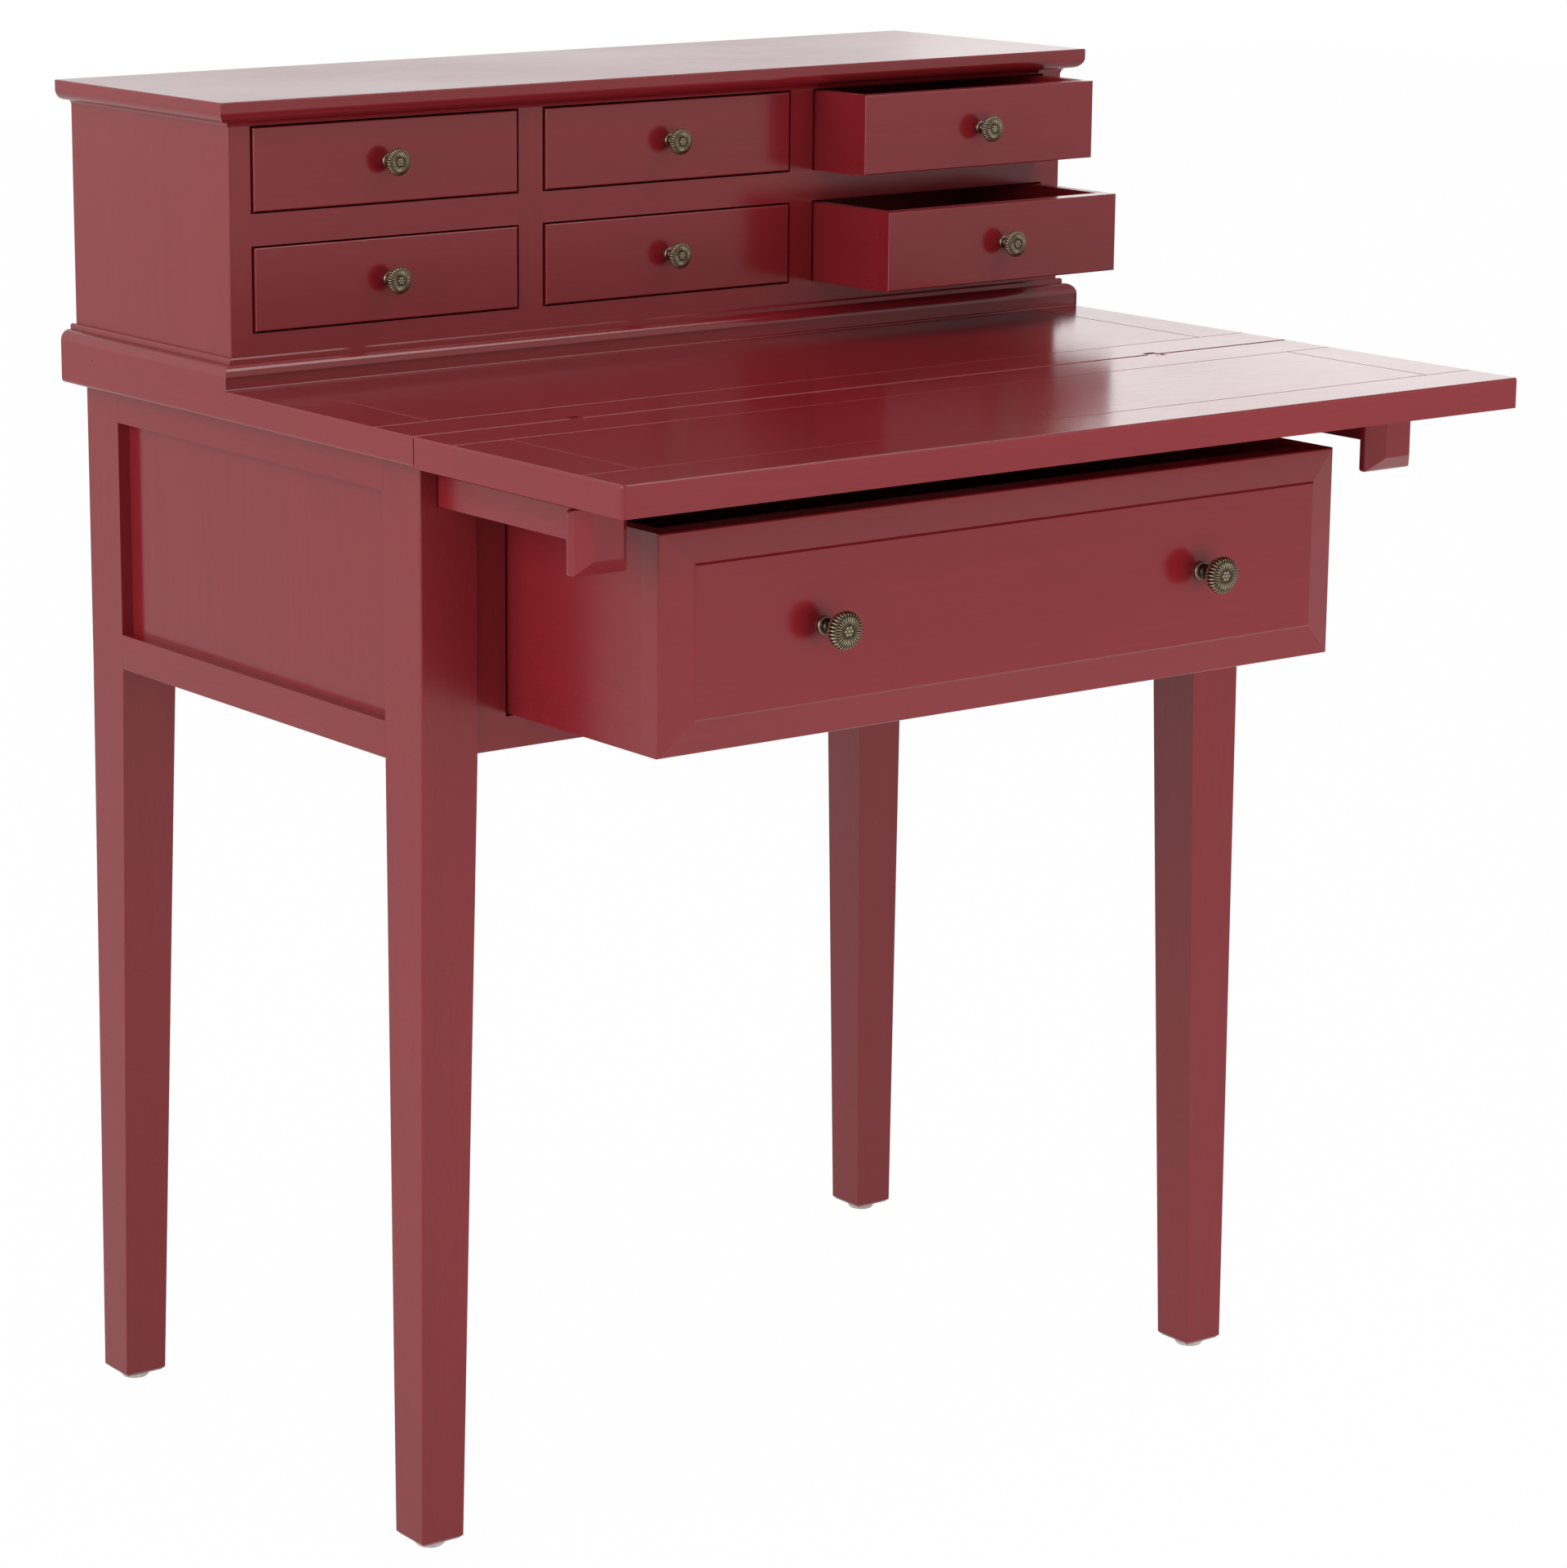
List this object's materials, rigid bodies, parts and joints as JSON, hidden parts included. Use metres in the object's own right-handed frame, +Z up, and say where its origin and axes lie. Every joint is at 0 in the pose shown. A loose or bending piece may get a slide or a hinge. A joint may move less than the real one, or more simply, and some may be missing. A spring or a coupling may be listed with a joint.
{
  "type": "writing desk",
  "caption": "Red painted writing desk on tapered legs, with a fold-over flap on pull-out lopers, a wide apron drawer and a hutch of small knobbed drawers.",
  "frame": {"origin": "on the floor, in the middle of the whole outline", "axes": "+Z up, +X to the right seen from the sitter's side, +Y towards the back"},
  "size_m": [0.743, 0.672, 0.945],
  "materials": {
    "red_lacquer": "satin red paint over open grain",
    "drawer_wood": "satin red paint outside, plain inside",
    "inside_wood": "thin dull paint",
    "knob_bronze": "aged bronze, rubbed bright on the high spots",
    "hinge_brass": "dull",
    "painted_brass": "brass under the desk's red paint",
    "glide_plastic": "matt"
  },
  "bodies": {
    "desk": {"back_apron": "red_lacquer", "drawer_kickers": "inside_wood", "drawer_runners": "inside_wood", "floor_glides": "glide_plastic", "foot_moulding": "red_lacquer", "front_bottom_rail": "red_lacquer", "front_stiles": "red_lacquer", "front_top_rail": "red_lacquer", "hinge_top_pins": "hinge_brass", "hutch_back": "inside_wood", "hutch_bottom_board": "inside_wood", "hutch_bottom_rail": "red_lacquer", "hutch_dividers": "red_lacquer", "hutch_shelves": "red_lacquer", "hutch_sides": "red_lacquer", "hutch_top_board": "red_lacquer", "leg_back_left": "red_lacquer", "leg_back_right": "red_lacquer", "leg_front_left": "red_lacquer", "leg_front_right": "red_lacquer", "loper_bars": "inside_wood", "side_panels": "red_lacquer", "side_rails": "red_lacquer", "top_back_rail": "red_lacquer", "top_end_stiles": "red_lacquer", "top_front_rail": "red_lacquer", "top_panel": "red_lacquer"},
    "wide_drawer": {"wide_drawer_box": "drawer_wood", "wide_drawer_front": "red_lacquer", "wide_drawer_knobs": "knob_bronze"},
    "loper_left": {"loper_arm_left": "red_lacquer", "loper_block_left": "red_lacquer"},
    "loper_right": {"loper_arm_right": "red_lacquer", "loper_block_right": "red_lacquer"},
    "hinge_link": {"hinge_links": "painted_brass"},
    "flap": {"flap_back_rail": "red_lacquer", "flap_end_stiles": "red_lacquer", "flap_front_rail": "red_lacquer", "flap_panel": "red_lacquer", "hinge_flap_pins": "hinge_brass"},
    "drawer_lower_left": {"drawer_lower_left_box": "drawer_wood", "drawer_lower_left_front": "red_lacquer", "drawer_lower_left_knob": "knob_bronze"},
    "drawer_lower_middle": {"drawer_lower_middle_box": "drawer_wood", "drawer_lower_middle_front": "red_lacquer", "drawer_lower_middle_knob": "knob_bronze"},
    "drawer_lower_right": {"drawer_lower_right_box": "drawer_wood", "drawer_lower_right_front": "red_lacquer", "drawer_lower_right_knob": "knob_bronze"},
    "drawer_upper_left": {"drawer_upper_left_box": "drawer_wood", "drawer_upper_left_front": "red_lacquer", "drawer_upper_left_knob": "knob_bronze"},
    "drawer_upper_middle": {"drawer_upper_middle_box": "drawer_wood", "drawer_upper_middle_front": "red_lacquer", "drawer_upper_middle_knob": "knob_bronze"},
    "drawer_upper_right": {"drawer_upper_right_box": "drawer_wood", "drawer_upper_right_front": "red_lacquer", "drawer_upper_right_knob": "knob_bronze"}
  },
  "joints": [
    {"name": "wide_drawer_slide", "type": "slide", "parent": "desk", "child": "wide_drawer", "axis": [0, -1, 0], "range_m": [-0.1637, 0.1]},
    {"name": "drawer_lower_left_slide", "type": "slide", "parent": "desk", "child": "drawer_lower_left", "axis": [0, -1, 0], "range_m": [0, 0.14]},
    {"name": "drawer_lower_middle_slide", "type": "slide", "parent": "desk", "child": "drawer_lower_middle", "axis": [0, -1, 0], "range_m": [0, 0.14]},
    {"name": "drawer_lower_right_slide", "type": "slide", "parent": "desk", "child": "drawer_lower_right", "axis": [0, -1, 0], "range_m": [-0.0845, 0.0555]},
    {"name": "drawer_upper_left_slide", "type": "slide", "parent": "desk", "child": "drawer_upper_left", "axis": [0, -1, 0], "range_m": [0, 0.14]},
    {"name": "drawer_upper_middle_slide", "type": "slide", "parent": "desk", "child": "drawer_upper_middle", "axis": [0, -1, 0], "range_m": [0, 0.14]},
    {"name": "drawer_upper_right_slide", "type": "slide", "parent": "desk", "child": "drawer_upper_right", "axis": [0, -1, 0], "range_m": [-0.0565, 0.0835]},
    {"name": "loper_left_slide", "type": "slide", "parent": "desk", "child": "loper_left", "axis": [0, -1, 0], "range_m": [-0.1592, 0]},
    {"name": "loper_right_slide", "type": "slide", "parent": "desk", "child": "loper_right", "axis": [0, -1, 0], "range_m": [-0.1592, 0]},
    {"name": "link_turn", "type": "hinge", "parent": "desk", "child": "hinge_link", "pos_m": [0, -0.1081, 0.7514], "axis": [-1, 0, 0], "range_deg": [0, 90]},
    {"name": "flap_turn", "type": "hinge", "parent": "hinge_link", "child": "flap", "pos_m": [0, -0.1159, 0.7514], "axis": [-1, 0, 0], "range_deg": [0, 90]}
  ]
}
